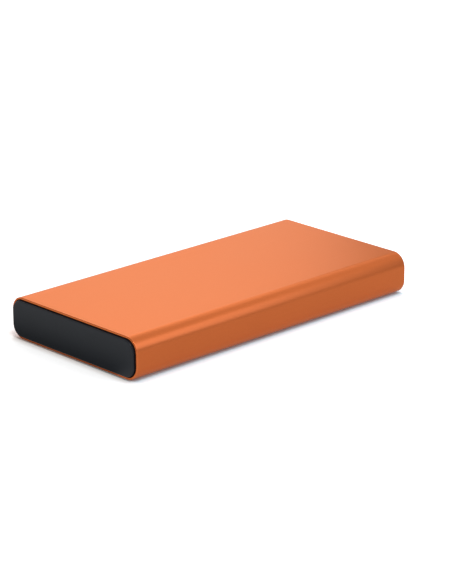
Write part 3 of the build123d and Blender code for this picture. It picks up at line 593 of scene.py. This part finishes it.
def join_in(made, other, finish_index=0):
    """Adds another bmesh's faces to this one, all with the finish at that index."""
    for face in other.faces:
        face.material_index = finish_index
    carrier = bpy.data.meshes.new("carrier")
    other.to_mesh(carrier)
    other.free()
    made.from_mesh(carrier)
    bpy.data.meshes.remove(carrier)


def turned(profile, centre):
    """A closed round shape about an upright axis, from (radius, height) points."""
    made = bmesh.new()
    points = [made.verts.new((centre.x + radius, centre.y, height)) for radius, height in profile]
    edges = [made.edges.new(pair) for pair in zip(points, points[1:])]
    bmesh.ops.spin(
        made,
        geom=points + edges,
        cent=(centre.x, centre.y, 0),
        axis=(0, 0, 1),
        angle=2 * math.pi,
        steps=48,
        use_merge=True,
    )
    bmesh.ops.remove_doubles(made, verts=made.verts[:], dist=1e-7)
    return made


def solid_boxes(node):
    """The two corners of each separate solid in a CAD node."""
    made = bmesh.new()
    made.from_mesh(nodes[node].data)
    made.transform(nodes[node].matrix_world)
    bmesh.ops.remove_doubles(made, verts=made.verts[:], dist=SAME_PLACE)
    seen = set()
    boxes = []
    for start in made.verts:
        if start in seen:
            continue
        seen.add(start)
        group = [start]
        for point in group:
            for edge in point.link_edges:
                neighbour = edge.other_vert(point)
                if neighbour not in seen:
                    seen.add(neighbour)
                    group.append(neighbour)
        places = [tuple(point.co) for point in group]
        boxes.append((Vector(map(min, zip(*places))), Vector(map(max, zip(*places)))))
    made.free()
    return boxes


# ---- Settings' kinds -------------------------------------


def number(name, description, default, **limits):
    return bpy.props.FloatProperty(name=name, description=description, default=default, **limits)


def millimetres(name, description, default, **limits):
    return number(name, description + ", in millimetres", default, **limits)


def fraction(name, description, default):
    return number(name, description, default, min=0.0, max=1.0)


def colour_choice(name, description, default):
    return bpy.props.FloatVectorProperty(
        name=name, description=description, subtype="COLOR", size=3, min=0.0, max=1.0, default=default
    )


# ---- Sleeve ----------------------------------------------


class SleeveSettings(bpy.types.PropertyGroup):
    colour: colour_choice("Colour", "Dyed oxide colour of the sleeve", (0.575, 0.138, 0.036))
    metal_share: fraction("Metal share", "How metallic the dyed surface looks", 1.0)
    roughness: fraction("Roughness", "Roughness of the blasted surface", 0.36)
    coat: fraction("Sealed layer", "Weight of the clear sealed layer over the dye", 0.08)
    coat_roughness: fraction("Sealed layer roughness", "Roughness of the clear sealed layer", 0.2)
    corner_radius: millimetres(
        "Corner radius", "Outside radius of the four long edges", 5.5, min=1.0, max=7.0
    )
    corner_segments: bpy.props.IntProperty(
        name="Corner segments", description="Facets in each rounded long edge", min=4, max=48, default=24
    )
    wall: millimetres("Wall", "Wall thickness of the extrusion", 1.5, min=0.8, max=3.0)
    rim_wall: millimetres("Rim wall", "Wall left beside the end caps", 0.95, min=0.5, max=1.5)
    outer_chamfer: millimetres("Outer chamfer", "Chamfer outside each rim", 0.2, min=0.05, max=0.5)
    inner_chamfer: millimetres("Inner chamfer", "Chamfer inside each rim", 0.3, min=0.05, max=0.5)
    rebate_depth: millimetres(
        "Rebate depth", "How far the wider mouth reaches in from each rim", 3.85, min=1.0, max=8.0
    )
    rim_polish: millimetres("Rim polish", "Width of the smoother band at each rim", 0.35, min=0.0, max=2.0)


def next_ring(made, edges, x, inset, core):
    """Extrudes an open end into its next ring: every point moves in towards the core by inset.

    The core is the flat rectangle between the four edges' centres: its half width, bottom and top.
    """
    core_y, core_low, core_high = core
    extruded = bmesh.ops.extrude_edge_only(made, edges=edges)["geom"]
    points = [part for part in extruded if isinstance(part, bmesh.types.BMVert)]
    for point in points:
        y, z = point.co.y, point.co.z
        nearest = Vector((0, max(-core_y, min(core_y, y)), max(core_low, min(core_high, z))))
        outward = Vector((0, y, z)) - nearest
        moved = nearest + outward * (1 - inset / outward.length)
        point.co = Vector((x, moved.y, moved.z))


def open_end(made, side):
    """The boundary edges at one end of an open tube."""
    return [edge for edge in made.edges if edge.is_boundary and edge.verts[0].co.x * side > 0]


class BuildSleeve(bpy.types.Operator):
    """Build the extruded sleeve with its chamfered rims, rebates and bore"""

    bl_idname = "power_bank.build_sleeve"
    bl_label = "Build sleeve"

    def execute(self, context):
        settings = context.scene.sleeve_settings
        low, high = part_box("sleeve")
        radius = settings.corner_radius * MM
        outer, inner = settings.outer_chamfer * MM, settings.inner_chamfer * MM
        rim, wall = settings.rim_wall * MM, settings.wall * MM
        core = (high.y - radius, low.z + radius, high.z - radius)
        tube_end = high.x - outer
        made = block((-tube_end, low.y, low.z), (tube_end, high.y, high.z))
        round_edges(made, edges_along(made, X), radius, settings.corner_segments)
        ends = [face for face in made.faces if abs(face.normal.x) > NEARLY_PARALLEL]
        bmesh.ops.delete(made, geom=ends, context="FACES_ONLY")
        rebate_end = high.x - settings.rebate_depth * MM
        rings = (
            (high.x, outer),
            (high.x, rim - inner - outer),
            (high.x - inner, inner),
            (rebate_end, 0.0),
            (rebate_end, wall - rim),
        )
        for side in (-1, 1):
            for x, inset in rings:
                next_ring(made, open_end(made, side), side * x, inset, core)
        mouths = [edge for edge in made.edges if edge.is_boundary]
        bmesh.ops.bridge_loops(made, edges=mouths)
        crisp(keep_piece("sleeve_extrusion", made, "sleeve", "anodised_sleeve"), 25.0, 0.04 * MM)
        return {"FINISHED"}


# ---- Caps ------------------------------------------------


class CapSettings(bpy.types.PropertyGroup):
    colour: colour_choice("Colour", "Colour of the moulded end caps", (0.0038, 0.0066, 0.0112))


# ---- Cells -----------------------------------------------


class CellSettings(bpy.types.PropertyGroup):
    edge_round: millimetres("Edge round", "Radius of the drawn pouch along its sides", 1.4)
    end_round: millimetres("End round", "Radius of the drawn pouch round its ends", 0.7)
    seam_thickness: millimetres("Seam thickness", "How far each folded side seam stands out", 0.3)
    seam_margin: millimetres("Seam margin", "From the pouch's edges to each side seam", 1.0)
    terrace_length: millimetres("Terrace length", "Length of the sealed lip that the tabs come out of", 4.0)
    terrace_inset: millimetres("Terrace inset", "From the pouch's sides to the sealed lip", 3.0)
    terrace_thickness: millimetres("Terrace thickness", "Thickness of the sealed lip", 0.4)


def build_pouch(settings, low, high):
    """The drawn pouch: a block with rounded sides and rounded ends."""
    pouch = block(low, high)
    round_edges(pouch, edges_along(pouch, X), settings.edge_round * MM, segments=6)
    for end in (low.x, high.x):
        outline = []
        for edge in pouch.edges:
            if all(abs(point.co.x - end) < SAME_PLACE for point in edge.verts):
                outline.append(edge)
        round_edges(pouch, outline, settings.end_round * MM, segments=4)
    return pouch


def add_seams(settings, pouch, low, high):
    """A folded seam down each side, let into the pouch."""
    seam, margin = settings.seam_thickness * MM, settings.seam_margin * MM
    sunk, fold_round = 0.2 * MM, 0.12 * MM
    top = high.z - 1.4 * margin
    for outer, inward in ((low.y, 1), (high.y, -1)):
        near, far = sorted((outer, outer + inward * (seam + sunk)))
        fold = block((low.x + margin, near, low.z + margin), (high.x - margin, far, top))
        round_edges(fold, edges_along(fold, X), fold_round, segments=3)
        join_in(pouch, fold)


def add_terrace(settings, pouch, front, low, high):
    """The sealed lip at the front, halfway up, let into the pouch."""
    sunk, lip_round = 0.5 * MM, 0.08 * MM
    middle = (low.z + high.z) / 2
    half, inset = settings.terrace_thickness * MM / 2, settings.terrace_inset * MM
    lip = block((front - sunk, low.y + inset, middle - half), (high.x, high.y - inset, middle + half))
    round_edges(lip, edges_along(lip, Y), lip_round, segments=2)
    join_in(pouch, lip)


def build_cell(settings, node):
    low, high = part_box(node)
    seam = Vector((0, settings.seam_thickness * MM, 0))
    front = high.x - settings.terrace_length * MM
    pouch_high = Vector((front, high.y, high.z))
    pouch = build_pouch(settings, low + seam, pouch_high - seam)
    add_seams(settings, pouch, low, pouch_high)
    add_terrace(settings, pouch, front, low, high)
    crisp(keep_piece(f"{node}_pouch", pouch, node, "cell_pouch"), 35.0, 0.04 * MM)


class BuildCells(bpy.types.Operator):
    """Build the two pouch cells with their folded side seams and sealed lips"""

    bl_idname = "power_bank.build_cells"
    bl_label = "Build cells"

    def execute(self, context):
        for node in ("lower_cell", "upper_cell"):
            build_cell(context.scene.cell_settings, node)
        return {"FINISHED"}


# ---- Foam pads -------------------------------------------


class PadSettings(bpy.types.PropertyGroup):
    bow: millimetres("Bow", "How far each side is drawn in between the corners", 0.35)
    edge_round: millimetres("Edge round", "Radius of the pressed edges", 0.18)
    dimple: millimetres("Dimple", "Depth of the uneven places in each face", 0.03)
    crown: millimetres("Crown", "How much lower the free face is at its edges", 0.14)
    fill: number("Fill", "How full the foam is, from slack to tight", 0.9)


def build_pad(settings, node, free_top):
    """A foam sheet with drawn-in sides, uneven faces and, where its top is free, a low crown."""
    low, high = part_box(node)
    middle, half = (low + high) / 2, (high - low) / 2
    cuts_along, cuts_across = 43, 27
    fold_angle, dimple_density = 1.0, 260.0
    made = block(low, high)
    bmesh.ops.subdivide_edges(made, edges=edges_along(made, X), cuts=cuts_along, use_grid_fill=True)
    bmesh.ops.subdivide_edges(made, edges=edges_along(made, Y), cuts=cuts_across, use_grid_fill=True)
    rim = [edge for edge in made.edges if edge.calc_face_angle(0.0) > fold_angle]
    round_edges(made, rim, settings.edge_round * MM, segments=3)
    for point in made.verts:
        place = point.co.copy()
        along = (place.x - middle.x) / half.x
        across = (place.y - middle.y) / half.y
        point.co.x -= settings.bow * MM * along * (1 - across * across)
        point.co.y -= settings.bow * MM * across * (1 - along * along)
        upper = place.z > middle.z
        drop = settings.dimple * MM * (0.5 + 0.5 * noise.noise(place * dimple_density))
        if upper and free_top:
            drop += settings.crown * MM * max(abs(along), abs(across)) ** 6
        point.co.z -= drop if upper else -drop
    piece = keep_piece(f"{node}_sheet", made, node, "foam")


class BuildPads(bpy.types.Operator):
    """Build the two foam sheets between the cells and the sleeve"""

    bl_idname = "power_bank.build_pads"
    bl_label = "Build foam pads"

    def execute(self, context):
        settings = context.scene.pad_settings
        build_pad(settings, "lower_foam_pad", False)
        build_pad(settings, "upper_foam_pad", True)
        return {"FINISHED"}


# ---- Board components ------------------------------------


class ComponentSettings(bpy.types.PropertyGroup):
    end_share: number("End share", "Share of a chip part's length that each plated end covers", 0.2)
    body_inset: millimetres("Body inset", "How far a chip part's body lies inside its plated ends", 0.03)
    base_height: millimetres("Base height", "Height of the square base under each can capacitor", 0.8)
    can_radius: millimetres("Can radius", "Radius of the can capacitors", 2.5)
    groove_depth: millimetres("Groove depth", "Depth of the rolled groove round each can", 0.22)


def build_chip_parts(settings, node, slot):
    """Small two-ended parts: a body with a plated end at each end of its longer side."""
    made = bmesh.new()
    for low, high in solid_boxes(node):
        size = high - low
        axis = X if size.x > size.y else Y
        inset = Vector((1, 1, 1)) * settings.body_inset * MM
        join_in(made, block(low + Vector((inset.x, inset.y, 0)), high - inset), 0)
        for near_low in (True, False):
            end_low, end_high = low.copy(), high.copy()
            if near_low:
                end_high[axis] = low[axis] + size[axis] * settings.end_share
            else:
                end_low[axis] = high[axis] - size[axis] * settings.end_share
            join_in(made, block(end_low, end_high), 1)
    crisp(keep_piece(f"{node}_plated", made, node, slot, "tin_pins"), 30.0, 0.03 * MM)


def can_profile(radius, groove, bottom, top):
    """Half outline of a can, from the middle of its base up to the middle of its lid."""
    middle = bottom + 0.28 * (top - bottom)
    groove_width, crown, steps = 0.7 * MM, 0.3 * MM, 6
    groove_start = middle - groove_width / 2
    outline = [(0, bottom), (radius, bottom), (radius, groove_start)]
    for step in range(1, steps):
        share = step / steps
        depth = groove * math.sin(math.pi * share)
        outline.append((radius - depth, groove_start + groove_width * share))
    outline.append((radius, groove_start + groove_width))
    for step in range(steps + 1):
        turn = math.pi / 2 * step / steps
        outline.append((radius - crown + crown * math.cos(turn), top - crown + crown * math.sin(turn)))
    outline.append((0, top))
    return outline


def build_cans(settings):
    """Can capacitors: a rolled aluminium can on a square black base with two cut corners."""
    made = bmesh.new()
    corner_cut, sunk = 0.8 * MM, 0.1 * MM
    radius, groove = settings.can_radius * MM, settings.groove_depth * MM
    for low, high in solid_boxes("output_capacitors"):
        base_top = low.z + settings.base_height * MM
        base = block(low, (high.x, high.y, base_top))
        corners = [edge for edge in edges_along(base, Z) if edge.verts[0].co.x > (low.x + high.x) / 2]
        round_edges(base, corners, corner_cut, segments=1)
        join_in(made, base, 1)
        outline = can_profile(radius, groove, base_top - sunk, high.z)
        join_in(made, turned(outline, (low + high) / 2), 0)
    piece = keep_piece("output_cans", made, "output_capacitors", "can_aluminium", "black_moulding")
    crisp(piece, 40.0, 0.04 * MM)


class BuildComponents(bpy.types.Operator):
    """Build the chip parts' plated ends and the can capacitors"""

    bl_idname = "power_bank.build_components"
    bl_label = "Build board components"

    def execute(self, context):
        settings = context.scene.component_settings
        build_chip_parts(settings, "ceramic_capacitors", "tan_ceramic")
        build_chip_parts(settings, "chip_resistors", "resistor_black")
        build_cans(settings)
        return {"FINISHED"}


# ---- Stage -----------------------------------------------


class StageSettings(bpy.types.PropertyGroup):
    azimuth: number("Azimuth", "Camera's turn round the object", -43.639)
    elevation: number("Elevation", "Camera's angle above the floor", 18.889)
    roll: number("Roll", "Camera's roll", -0.212)
    distance: millimetres("Distance", "From the camera to the object", 905.084)
    aim_right: millimetres("Aim right", "Sideways move of the aim", 4.681)
    aim_up: millimetres("Aim up", "Upward move of the aim", 0.78)
    lens: millimetres("Lens", "Focal length on a 36 mm sensor", 149.352)
    floor_size: number("Floor size", "Side of the square floor", 8.0, unit="LENGTH")
    room_light: number("Room light", "Brightness of the even room light", 0.5)


def place_camera(settings):
    turn, rise = math.radians(settings.azimuth), math.radians(settings.elevation)
    tilt = math.radians(settings.roll)
    back = Vector((math.sin(turn) * math.cos(rise), -math.cos(turn) * math.cos(rise), math.sin(rise)))
    right = Vector((math.cos(turn), math.sin(turn), 0))
    up = back.cross(right)
    rolled_right = right * math.cos(tilt) + up * math.sin(tilt)
    rolled_up = up * math.cos(tilt) - right * math.sin(tilt)
    low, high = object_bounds()
    aim = (low + high) / 2 + (rolled_right * settings.aim_right + rolled_up * settings.aim_up) * MM
    camera = add_object("camera", bpy.data.cameras.new("camera"))
    camera.data.lens = settings.lens
    camera.data.sensor_width = 36.0
    camera.data.clip_start, camera.data.clip_end = 0.01, 50.0
    rotation = Matrix((rolled_right, rolled_up, back)).transposed()
    camera.matrix_world = Matrix.Translation(aim + back * settings.distance * MM) @ rotation.to_4x4()
    bpy.context.scene.camera = camera


# Soft panels by name. Angles in degrees, lengths in metres, and each brightness is a radiance.
panels = {
    "overhead": dict(azimuth=-112.0, elevation=65.0, distance=1.5, size=(0.55, 0.55), radiance=9.0),
    "back_panel": dict(
        azimuth=46.0, elevation=18.0, distance=0.6, size=(0.6, 0.42), radiance=0.97, shift=(-0.218, 0.02)
    ),
    "high_back": dict(
        azimuth=24.0, elevation=41.0, distance=0.6, size=(0.42, 0.22), radiance=1.28, shift=(-0.16, 0.012)
    ),
    "high_side": dict(azimuth=-12.0, elevation=50.0, distance=0.6, size=(0.5, 0.3), radiance=0.6),
    "side_panel": dict(
        azimuth=-40.0,
        elevation=32.0,
        distance=0.4,
        size=(0.26, 0.27),
        radiance=1.45,
        shift=(0.15, 0.012),
        roll=-28.6,
        colour=(0.95, 1.06, 1.4),
    ),
}


def place_panel(
    name, azimuth, elevation, distance, size, radiance, shift=(0.0, 0.0), roll=0.0, colour=(1.0, 1.0, 1.0)
):
    """A soft light panel that faces the object.

    shift moves it right and up as seen from the object, and roll turns its top to the right.
    """
    turn, rise, tilt = math.radians(azimuth), math.radians(elevation), math.radians(roll)
    direction = Vector((math.cos(turn) * math.cos(rise), math.sin(turn) * math.cos(rise), math.sin(rise)))
    right = Vector((math.sin(turn), -math.cos(turn), 0))
    up = right.cross(direction)
    side = right * math.cos(tilt) - up * math.sin(tilt)
    light = bpy.data.lights.new(name, "AREA")
    light.shape = "RECTANGLE"
    light.size, light.size_y = size
    light.energy = radiance * math.pi * size[0] * size[1]
    light.color = colour
    panel = add_object(name, light)
    panel.visible_camera = False
    place = direction * distance + right * shift[0] + up * shift[1]
    rotation = Matrix((side, direction.cross(side), direction)).transposed()
    panel.matrix_world = Matrix.Translation(place) @ rotation.to_4x4()


def build_painted_floor_light():
    """A painted mask of where the floor is lit, as the object mirrors it: past the blank end and past the
    near side.

    Near the object it is painted dark, but for a half-lit strip close along the blank end.
    """
    outputs = {"Lit": "Float", "Beyond End": "Float"}
    tree, given, result = start_group("Painted Floor Light", {"Place": Vector()}, outputs)
    x, y, _ = coordinates(tree, given["Place"])
    end_x, side_y = cad_box[0].x, cad_box[0].y
    past_end = falling(tree, x, end_x - 20 * MM, end_x - 3 * MM)
    at_end = ramp_value(tree, x, end_x - 2.6 * MM, end_x - 1.6 * MM, 0.0, 0.5)
    past_side = falling(tree, y, side_y + 10 * MM, side_y + 16 * MM)
    beyond = ramp_value(tree, x, end_x + 1 * MM, end_x + 3 * MM)
    lit = largest(tree, past_end, at_end, past_side, beyond)
    connect(tree, result, {"Lit": lit, "Beyond End": beyond})


def build_painted_contact_shadow():
    """Masks of the two strips where a contact shadow is painted on the floor where it meets the object: at
    the blank end, and beside it.
    """
    inputs = {"Place": Vector(), "Beyond End": 0.0}
    tree, given, result = start_group("Painted Contact Shadow", inputs, {"At End": "Float", "Beside": "Float"})
    x, y, _ = coordinates(tree, given["Place"])
    end_x, far_x, side_y = cad_box[0].x, cad_box[1].x, cad_box[0].y
    touching = ramp_value(tree, x, end_x - 3.2 * MM, end_x + 0.6 * MM)
    across = falling(tree, maths(tree, "ABSOLUTE", y), -side_y - 3 * MM, -side_y + 0.5 * MM)
    at_end = times(tree, maths(tree, "SUBTRACT", touching, given["Beyond End"], True), across)
    reach = ramp_value(tree, y, side_y - 3 * MM, side_y + 1.5 * MM)
    past_start = ramp_value(tree, x, end_x - 1 * MM, end_x + 2 * MM)
    near_half = ramp_value(tree, y, 0.0, -10 * MM)
    before_far_end = falling(tree, x, far_x - 1 * MM, far_x)
    beside = times(tree, reach, past_start, near_half, before_far_end)
    connect(tree, result, {"At End": at_end, "Beside": beside})


def floor_finish():
    """A white floor to the camera, with painted contact shadows where it meets the object. The object
    mirrors it as painted dark, with a painted glow where it is painted lit.
    """
    finish, tree, shader, place = start_finish("studio_floor", Specular_IOR_Level=0.0)
    dark, bright, bright_glow = grey(0.03), grey(0.38), grey(0.345)
    # Colours of the painted contact shadows: warm at the blank end, cool beside the near side.
    end_painted_shadow, side_painted_shadow = (0.9, 0.83, 0.78, 1.0), (0.76, 0.98, 1.05, 1.0)
    cloud = clouded(tree, place, 0.3, grey(1.38), grey(1.37))
    lit = effect(tree, "Painted Floor Light", Place=place)
    contact = effect(tree, "Painted Contact Shadow", Place=place, Beyond_End=lit["Beyond End"])
    seen = tree.nodes.new("ShaderNodeLightPath").outputs["Is Camera Ray"]
    # The camera sees the floor with painted contact shadows along the object.
    seen_colour = blend_colours(tree, contact["At End"], cloud["Colour"], end_painted_shadow)
    seen_colour = blend_colours(tree, contact["Beside"], seen_colour, side_painted_shadow)
    # Only rays other than the camera's see this: painted shade near the object, and a painted glow away
    # from it.
    reflected = blend_colours(tree, lit["Lit"], dark, bright)
    dimmed = blend_colours(tree, 1.0, cloud["Colour"], reflected, "MULTIPLY")
    glow = blend_colours(tree, seen, blend_colours(tree, lit["Lit"], dark, bright_glow), grey(0.0))
    colours = {
        "Base Color": blend_colours(tree, seen, dimmed, seen_colour),
        "Emission Color": glow,
        "Emission Strength": 1.0,
        "Roughness": between(tree, cloud["Value"], 0.85, 0.95),
    }
    connect(tree, shader, colours)
    return finish


def light_room(brightness):
    """Even room light, which the camera sees as a plain white backdrop."""
    world = bpy.data.worlds.new("studio_room")
    bpy.context.scene.world = world
    world.use_nodes = True
    tree = world.node_tree
    backdrop = 1.05
    seen = tree.nodes.new("ShaderNodeLightPath").outputs["Is Camera Ray"]
    strength = between(tree, seen, brightness, backdrop)
    connect(tree, tree.nodes["Background"], {"Color": grey(1.0), "Strength": strength})


class BuildStage(bpy.types.Operator):
    """Place the floor, the room light, the soft panels and the camera"""

    bl_idname = "power_bank.build_stage"
    bl_label = "Build stage"

    def execute(self, context):
        settings = context.scene.stage_settings
        made = bmesh.new()
        gap = 0.02 * MM
        bmesh.ops.create_grid(made, x_segments=4, y_segments=4, size=settings.floor_size / 2)
        bmesh.ops.translate(made, vec=(0, 0, cad_box[0].z - gap), verts=made.verts[:])
        mesh = bpy.data.meshes.new("floor")
        made.to_mesh(mesh)
        made.free()
        mesh.materials.append(floor_finish())
        add_object("floor", mesh)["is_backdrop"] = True
        light_room(settings.room_light)
        for name, panel in panels.items():
            place_panel(name, **panel)
        place_camera(settings)
        context.scene.view_settings.view_transform = "Standard"
        return {"FINISHED"}


# ---- CAD nodes that keep their shape ---------------------


class DressNodes(bpy.types.Operator):
    """Give every CAD node that is shown its finish, by its record slot"""

    bl_idname = "power_bank.dress_nodes"
    bl_label = "Dress CAD nodes"

    def execute(self, context):
        for node in nodes.values():
            for holder in node.material_slots:
                slot_name = holder.material.name.split(".")[0]
                if slot_name not in finishes:
                    raise RuntimeError(f"{node.name} has an unknown finish {slot_name}")
                holder.material = finishes[slot_name]
        return {"FINISHED"}


class PowerBankPanel(bpy.types.Panel):
    """Sizes, colours and build steps of the power bank"""

    bl_idname = "VIEW3D_PT_power_bank"
    bl_label = "Power bank"
    bl_space_type = "VIEW_3D"
    bl_region_type = "UI"
    bl_category = "Power Bank"

    def draw(self, context):
        for name in settings_groups:
            group = getattr(context.scene, name)
            box = self.layout.box()
            for label in group.bl_rna.properties.keys():
                if label not in ("rna_type", "name"):
                    box.prop(group, label)
        for operator in operators:
            self.layout.operator(operator.bl_idname)


settings_groups = {
    "sleeve_settings": SleeveSettings,
    "cap_settings": CapSettings,
    "cell_settings": CellSettings,
    "pad_settings": PadSettings,
    "component_settings": ComponentSettings,
    "stage_settings": StageSettings,
}
operators = (DressNodes, BuildSleeve, BuildCells, BuildPads, BuildComponents, BuildStage)


def register():
    for kind in (*settings_groups.values(), *operators, PowerBankPanel):
        bpy.utils.register_class(kind)
    for name, kind in settings_groups.items():
        setattr(bpy.types.Scene, name, bpy.props.PointerProperty(type=kind))


def unregister():
    for name in settings_groups:
        delattr(bpy.types.Scene, name)
    for kind in (PowerBankPanel, *reversed(operators), *settings_groups.values()):
        bpy.utils.unregister_class(kind)


def main():
    register()
    build_shared_effects()
    finishes.update(build_finishes())
    bpy.ops.power_bank.dress_nodes()
    bpy.ops.power_bank.build_sleeve()
    bpy.ops.power_bank.build_cells()
    bpy.ops.power_bank.build_pads()
    bpy.ops.power_bank.build_components()
    bpy.ops.power_bank.build_stage()


if __name__ == "__main__":
    main()
